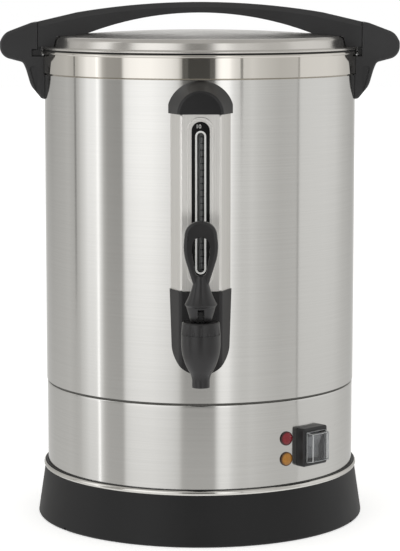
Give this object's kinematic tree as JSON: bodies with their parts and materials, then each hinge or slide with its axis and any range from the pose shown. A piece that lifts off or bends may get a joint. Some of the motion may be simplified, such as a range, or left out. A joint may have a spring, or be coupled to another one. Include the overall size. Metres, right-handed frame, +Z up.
{
  "type": "coffee urn",
  "caption": "Round steel coffee urn with a locking lid under an arched handle, side handles, a sight gauge over a lever tap, a covered rocker switch and signal lamps.",
  "frame": {"origin": "on the surface the urn stands on, on the axis of its round body", "axes": "+Z up along the body's axis, -Y towards the tap and the user, +X to the right seen from the tap"},
  "size_m": [0.3188, 0.3169, 0.4148],
  "materials": {
    "brushed_steel": "fine vertical brushing",
    "gauge_steel": "fine brushing, formed sheet",
    "satin_steel": "satin",
    "polished_steel": "polished",
    "small_steel": "machined",
    "aluminium_plate": "milled",
    "zinc_plate": "galvanised",
    "heater_sheath": "darkened by heat",
    "contact_brass": "plated",
    "skirt_plastic": "satin moulded",
    "handle_plastic": "satin moulded",
    "gauge_plastic": "satin moulded",
    "tap_plastic": "semi-gloss moulded",
    "switch_plastic": "satin moulded",
    "rocker_plastic": "gloss moulded",
    "inlet_plastic": "satin moulded",
    "button_plastic": "gloss moulded",
    "thermostat_plastic": "pressed phenolic",
    "terminal_plastic": "natural nylon",
    "wire_insulation": "silicone sleeve",
    "clear_cover": "clear flexible moulding",
    "red_lens": "translucent",
    "amber_lens": "translucent",
    "white_print": "printed line",
    "sight_glass": "clear tube",
    "silicone_rubber": "translucent silicone",
    "gasket_rubber": "black silicone",
    "foot_rubber": "moulded"
  },
  "bodies": {
    "root": {"base_skirt": "skirt_plastic", "bottom_plate": "zinc_plate", "rubber_feet": "foot_rubber", "tie_studs": "small_steel", "stud_nuts": "small_steel", "base_trim_ring": "polished_steel", "lower_housing": "brushed_steel", "seam_seal": "gasket_rubber", "tank": "brushed_steel", "tank_well": "satin_steel", "heat_spreader": "aluminium_plate", "boiling_element": "heater_sheath", "keep_warm_element": "heater_sheath", "boil_thermostat": "thermostat_plastic", "keep_warm_thermostat": "thermostat_plastic", "thermal_cutout": "thermostat_plastic", "cutout_nut": "small_steel", "terminal_block": "terminal_plastic", "wiring": "wire_insulation", "power_inlet": "inlet_plastic", "inlet_pins": "contact_brass", "switch_housing": "switch_plastic", "switch_cover": "clear_cover", "red_lamp": "red_lens", "amber_lamp": "amber_lens", "lamp_nuts": "terminal_plastic", "side_handle_left": "handle_plastic", "side_handle_right": "handle_plastic", "side_handle_screws": "small_steel", "side_handle_washers": "silicone_rubber", "gauge_channel": "gauge_steel", "gauge_insert": "gauge_plastic", "gauge_outline": "white_print", "sight_tube": "sight_glass", "tube_seals": "silicone_rubber", "gauge_cap": "gauge_plastic", "tap_shield": "tap_plastic", "gauge_shank": "polished_steel", "shank_washers": "silicone_rubber", "shank_nut": "small_steel", "tap_body": "tap_plastic", "tap_bonnet": "tap_plastic", "tap_spring": "small_steel"},
    "valve_stem": {"tap_stem": "tap_plastic", "seat_cup": "silicone_rubber", "lever_pin": "small_steel"},
    "lever": {"tap_lever": "tap_plastic"},
    "rocker": {"switch_rocker": "rocker_plastic"},
    "cutout_button": {"reset_button": "button_plastic"},
    "lid_seal": {"lid_gasket": "gasket_rubber"},
    "lid": {"lid_shell": "brushed_steel", "lid_handle": "handle_plastic", "lid_handle_screws": "small_steel"},
    "percolator": {"percolator_stem": "satin_steel"},
    "basket": {"filter_basket": "satin_steel"},
    "cover": {"basket_cover": "satin_steel"}
  },
  "joints": [
    {"name": "lever_pull", "type": "hinge", "parent": "valve_stem", "child": "lever", "pos_m": [0, -0.17, 0.186], "axis": [1, 0, 0], "range_deg": [0, 38]},
    {"name": "stem_lift", "type": "slide", "parent": "root", "child": "valve_stem", "axis": [0, 0, 1], "range_m": [0, 0.004], "stiffness_N_per_m": 600, "springref_m": -0.003, "deforming": ["tap_spring"]},
    {"name": "rocker_press", "type": "hinge", "parent": "root", "child": "rocker", "pos_m": [0.08375, -0.08919, 0.0722], "axis": [-0.729, -0.6845, 0], "range_deg": [0, 22]},
    {"name": "button_press", "type": "slide", "parent": "root", "child": "cutout_button", "axis": [-0.4695, -0.8829, 0], "range_m": [0, 0.002], "stiffness_N_per_m": 400, "springref_m": -0.001},
    {"name": "lid_lift", "type": "slide", "parent": "root", "child": "lid_seal", "axis": [0, 0, 1], "range_m": [0, 0.44]},
    {"name": "lid_turn", "type": "hinge", "parent": "lid_seal", "child": "lid", "pos_m": [0, 0, 0.38], "axis": [0, 0, 1], "range_deg": [0, 16]},
    {"name": "percolator_lift", "type": "slide", "parent": "root", "child": "percolator", "axis": [0, 0, 1], "range_m": [0, 0.2817]},
    {"name": "basket_lift", "type": "slide", "parent": "root", "child": "basket", "axis": [0, 0, 1], "range_m": [0, 0.3697]},
    {"name": "cover_lift", "type": "slide", "parent": "root", "child": "cover", "axis": [0, 0, 1], "range_m": [0, 0.4005]}
  ],
  "couplings": [
    {"joint": "lever_pull", "follows": "stem_lift", "rad_per_m": 165.8},
    {"joint": "percolator_lift", "follows": "lid_lift", "ratio": 0.64},
    {"joint": "basket_lift", "follows": "lid_lift", "ratio": 0.84},
    {"joint": "cover_lift", "follows": "lid_lift", "ratio": 0.91}
  ]
}
